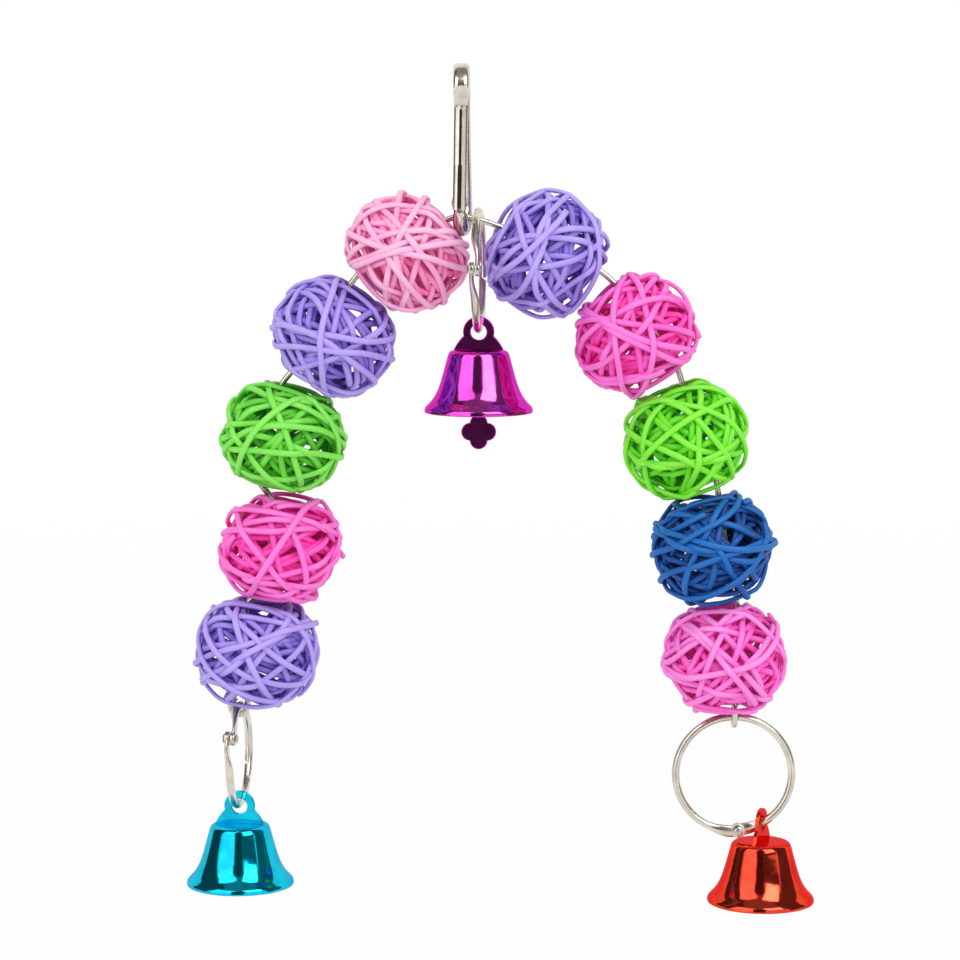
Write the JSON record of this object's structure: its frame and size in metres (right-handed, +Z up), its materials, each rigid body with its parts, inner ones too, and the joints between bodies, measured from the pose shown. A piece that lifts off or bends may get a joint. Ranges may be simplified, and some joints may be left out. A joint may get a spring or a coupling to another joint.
{
  "type": "hanging bird toy",
  "caption": "Arch of woven cane balls threaded on a stiff wire, hung from a snap hook, with lacquered bells on hinged rings below the hook and at both ends of the wire.",
  "frame": {"origin": "where the cage bar bears, at the inner top of the snap hook", "axes": "+Z up along the hook, +X to the right of the arch, front towards -Y"},
  "size_m": [0.1525, 0.0306, 0.2016],
  "materials": {
    "nickel": "warm polished nickel plating",
    "steel": "plain plated steel",
    "cane_light_pink": "dyed cane, light pink",
    "cane_lavender": "dyed cane, lavender",
    "cane_green": "dyed cane, green",
    "cane_hot_pink": "dyed cane, hot pink",
    "cane_lime": "dyed cane, lime green",
    "cane_blue": "dyed cane, dark blue",
    "cane_bright_pink": "dyed cane, bright pink",
    "lacquer_magenta": "mirror-bright magenta lacquer",
    "lacquer_cyan": "mirror-bright cyan lacquer",
    "lacquer_red": "mirror-bright red lacquer"
  },
  "bodies": {
    "hook": {"hook_body": "nickel", "hook_gate_pin": "steel"},
    "gate": {"hook_gate": "nickel", "hook_gate_spring": "steel"},
    "arch": {"arch_wire": "nickel"},
    "ball_left_1": {"ball_left_1": "cane_light_pink"},
    "ball_left_2": {"ball_left_2": "cane_lavender"},
    "ball_left_3": {"ball_left_3": "cane_green"},
    "ball_left_4": {"ball_left_4": "cane_hot_pink"},
    "ball_left_5": {"ball_left_5": "cane_lavender"},
    "ball_right_1": {"ball_right_1": "cane_lavender"},
    "ball_right_2": {"ball_right_2": "cane_hot_pink"},
    "ball_right_3": {"ball_right_3": "cane_lime"},
    "ball_right_4": {"ball_right_4": "cane_blue"},
    "ball_right_5": {"ball_right_5": "cane_bright_pink"},
    "centre_ring": {"centre_ring_upper": "nickel", "centre_ring_pin": "steel"},
    "centre_ring_lower_half": {"centre_ring_lower": "nickel"},
    "left_ring": {"left_ring_upper": "nickel", "left_ring_pin": "steel"},
    "left_ring_lower_half": {"left_ring_lower": "nickel"},
    "right_ring": {"right_ring_fixed_half": "nickel", "right_ring_pin": "steel"},
    "right_ring_free": {"right_ring_free_half": "nickel"},
    "centre_bell": {"centre_bell_shell": "lacquer_magenta", "centre_bell_hanger": "lacquer_magenta"},
    "centre_clapper": {"centre_bell_clapper": "lacquer_magenta"},
    "left_bell": {"left_bell_shell": "lacquer_cyan", "left_bell_hanger": "lacquer_cyan"},
    "left_clapper": {"left_bell_clapper": "lacquer_cyan"},
    "right_bell": {"right_bell_shell": "lacquer_red", "right_bell_hanger": "lacquer_red"},
    "right_clapper": {"right_bell_clapper": "lacquer_red"}
  },
  "joints": [
    {"name": "gate_hinge", "type": "hinge", "parent": "hook", "child": "gate", "pos_m": [-0.00069, -0.00563, -0.0289], "axis": [-0.9925, 0.1219, 0], "range_deg": [0, 14], "stiffness_Nm_per_rad": 0.005, "springref_deg": -11.46},
    {"name": "arch_rock", "type": "hinge", "parent": "hook", "child": "arch", "pos_m": [0, 0, -0.0353], "axis": [0, 1, 0], "range_deg": [-12, 12]},
    {"name": "ball_left_1_spin", "type": "hinge", "parent": "arch", "child": "ball_left_1", "pos_m": [-0.013, 0, -0.04089], "axis": [-0.7547, 0, -0.6561], "continuous": true},
    {"name": "ball_left_2_spin", "type": "hinge", "parent": "arch", "child": "ball_left_2", "pos_m": [-0.03038, 0, -0.06089], "axis": [-0.5592, 0, -0.829], "continuous": true},
    {"name": "ball_left_3_spin", "type": "hinge", "parent": "arch", "child": "ball_left_3", "pos_m": [-0.04262, 0, -0.0849], "axis": [-0.2504, 0, -0.9681], "continuous": true},
    {"name": "ball_left_4_spin", "type": "hinge", "parent": "arch", "child": "ball_left_4", "pos_m": [-0.04355, 0, -0.11167], "axis": [-0.1305, 0, -0.9914], "continuous": true},
    {"name": "ball_left_5_spin", "type": "hinge", "parent": "arch", "child": "ball_left_5", "pos_m": [-0.04941, 0, -0.13703], "axis": [-0.1305, 0, -0.9914], "continuous": true},
    {"name": "ball_right_1_spin", "type": "hinge", "parent": "arch", "child": "ball_right_1", "pos_m": [0.02019, 0, -0.04144], "axis": [0.8387, 0, -0.5446], "continuous": true},
    {"name": "ball_right_2_spin", "type": "hinge", "parent": "arch", "child": "ball_right_2", "pos_m": [0.04132, 0, -0.06046], "axis": [0.6018, 0, -0.7986], "continuous": true},
    {"name": "ball_right_3_spin", "type": "hinge", "parent": "arch", "child": "ball_right_3", "pos_m": [0.05363, 0, -0.08571], "axis": [0.342, 0, -0.9397], "continuous": true},
    {"name": "ball_right_4_spin", "type": "hinge", "parent": "arch", "child": "ball_right_4", "pos_m": [0.06022, 0, -0.11215], "axis": [0.1822, 0, -0.9833], "continuous": true},
    {"name": "ball_right_5_spin", "type": "hinge", "parent": "arch", "child": "ball_right_5", "pos_m": [0.06349, 0, -0.13875], "axis": [0.0785, 0, -0.9969], "continuous": true},
    {"name": "centre_ring_swing", "type": "hinge", "parent": "arch", "child": "centre_ring", "pos_m": [0.00409, 0, -0.03314], "axis": [1, 0, 0], "range_deg": [-20, 20]},
    {"name": "centre_ring_open", "type": "hinge", "parent": "centre_ring", "child": "centre_ring_lower_half", "pos_m": [0.00311, -0.01398, -0.04421], "axis": [-0.9976, 0.0698, 0], "range_deg": [0, 50]},
    {"name": "left_ring_swing", "type": "hinge", "parent": "arch", "child": "left_ring", "pos_m": [-0.05391, 0, -0.15033], "axis": [0.1219, 0.9925, 0], "range_deg": [-40, 40]},
    {"name": "left_ring_open", "type": "hinge", "parent": "left_ring", "child": "left_ring_lower_half", "pos_m": [-0.05518, -0.01036, -0.15635], "axis": [-0.9925, 0.1219, 0], "range_deg": [0, 50]},
    {"name": "right_ring_swing", "type": "hinge", "parent": "arch", "child": "right_ring", "pos_m": [0.06589, 0, -0.15305], "axis": [1, 0, 0], "range_deg": [-40, 40]},
    {"name": "right_ring_open", "type": "hinge", "parent": "right_ring", "child": "right_ring_free", "pos_m": [0.06711, 0, -0.1811], "axis": [0, -1, 0], "range_deg": [0, 20]},
    {"name": "centre_bell_swing", "type": "hinge", "parent": "centre_ring_lower_half", "child": "centre_bell", "pos_m": [0.00409, 0, -0.05924], "axis": [0.0698, 0.9976, 0], "range_deg": [-30, 30]},
    {"name": "centre_clapper_swing", "type": "hinge", "parent": "centre_bell", "child": "centre_clapper", "pos_m": [0.00409, 0, -0.06653], "axis": [0.0698, 0.9976, 0], "range_deg": [-25, 25]},
    {"name": "left_bell_swing", "type": "hinge", "parent": "left_ring_lower_half", "child": "left_bell", "pos_m": [-0.05391, 0, -0.17443], "axis": [0.1219, 0.9925, 0], "range_deg": [-30, 30]},
    {"name": "left_clapper_swing", "type": "hinge", "parent": "left_bell", "child": "left_clapper", "pos_m": [-0.05391, 0, -0.18158], "axis": [0.1219, 0.9925, 0], "range_deg": [-25, 25]},
    {"name": "right_bell_swing", "type": "hinge", "parent": "right_ring", "child": "right_bell", "pos_m": [0.0727, 0, -0.17939], "axis": [-0.9659, 0.2588, 0], "range_deg": [-20, 20]},
    {"name": "right_clapper_swing", "type": "hinge", "parent": "right_bell", "child": "right_clapper", "pos_m": [0.0727, 0, -0.18594], "axis": [-0.9659, 0.2588, 0], "range_deg": [-25, 25]}
  ]
}
